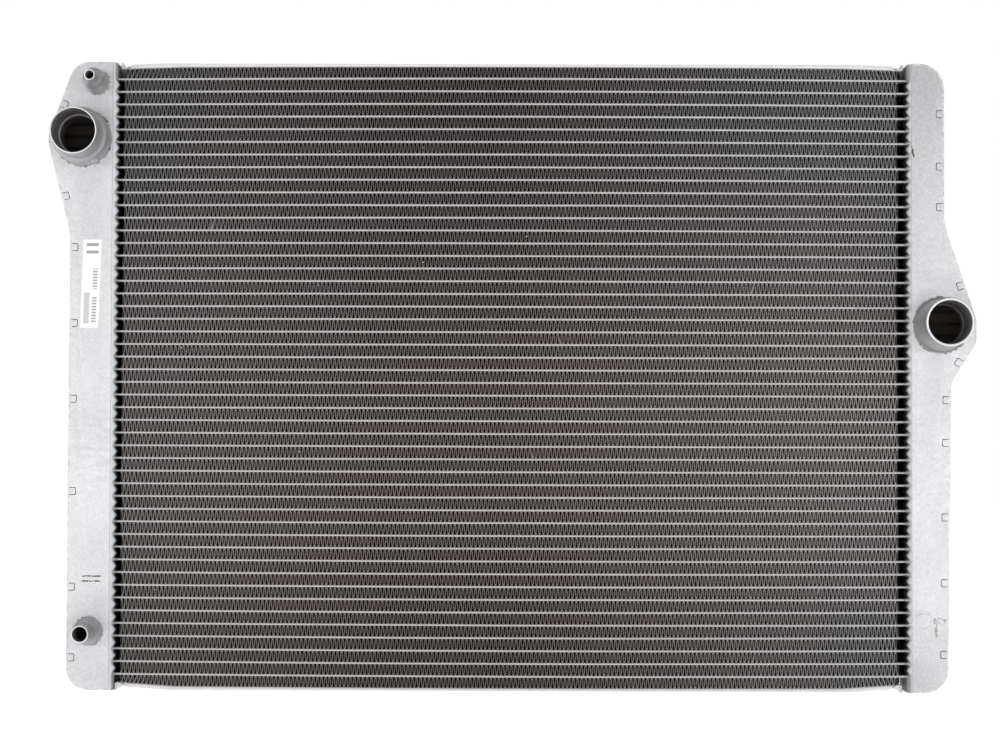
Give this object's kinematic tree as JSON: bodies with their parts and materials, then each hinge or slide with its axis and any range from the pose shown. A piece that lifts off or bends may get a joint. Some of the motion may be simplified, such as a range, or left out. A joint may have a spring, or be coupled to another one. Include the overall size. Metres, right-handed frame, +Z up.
{
  "type": "car radiator",
  "caption": "All-aluminium crossflow car radiator: flat tubes between two ribbed headers and fabricated side tanks, with hose spigots and small nipples facing forward",
  "frame": {"origin": "middle of the core's width and depth, on the underside: the flat crest of the bead along the bottom side plate, level with the undersides of both tanks", "axes": "+X to the right seen from the front, along the tubes and across the longest side; +Y from the front to the back; the spigots point to -Y; +Z up"},
  "size_m": [0.7066, 0.106, 0.478],
  "materials": {
    "tube": "as-brazed aluminium sheet, bright round noses",
    "header": "as-brazed pressed plate, slightly glossy on its edges",
    "tank": "matte pale grey, mottled by flux and brazing, fine press ripples",
    "side_plate": "as-brazed strip, matte with bright edges",
    "connector": "turned aluminium, mid grey, satin, bright rims"
  },
  "bodies": {
    "root": {"tube_01": "tube", "tube_02": "tube", "tube_03": "tube", "tube_04": "tube", "tube_05": "tube", "tube_06": "tube", "tube_07": "tube", "tube_08": "tube", "tube_09": "tube", "tube_10": "tube", "tube_11": "tube", "tube_12": "tube", "tube_13": "tube", "tube_14": "tube", "tube_15": "tube", "tube_16": "tube", "tube_17": "tube", "tube_18": "tube", "tube_19": "tube", "tube_20": "tube", "tube_21": "tube", "tube_22": "tube", "tube_23": "tube", "tube_24": "tube", "tube_25": "tube", "tube_26": "tube", "tube_27": "tube", "tube_28": "tube", "tube_29": "tube", "tube_30": "tube", "tube_31": "tube", "tube_32": "tube", "tube_33": "tube", "tube_34": "tube", "tube_35": "tube", "tube_36": "tube", "tube_37": "tube", "tube_38": "tube", "tube_39": "tube", "tube_40": "tube", "tube_41": "tube", "tube_42": "tube", "tube_43": "tube", "tube_44": "tube", "tube_45": "tube", "tube_46": "tube", "tube_47": "tube", "tube_48": "tube", "header_left": "header", "header_right": "header", "tank_left_tray": "tank", "tank_left_cover": "tank", "tank_right_tray": "tank", "tank_right_cover": "tank", "side_plate_bottom": "side_plate", "side_plate_top": "side_plate", "inlet_spigot": "connector", "outlet_spigot": "connector", "vent_nipple": "connector", "lower_nipple": "connector"}
  },
  "joints": []
}
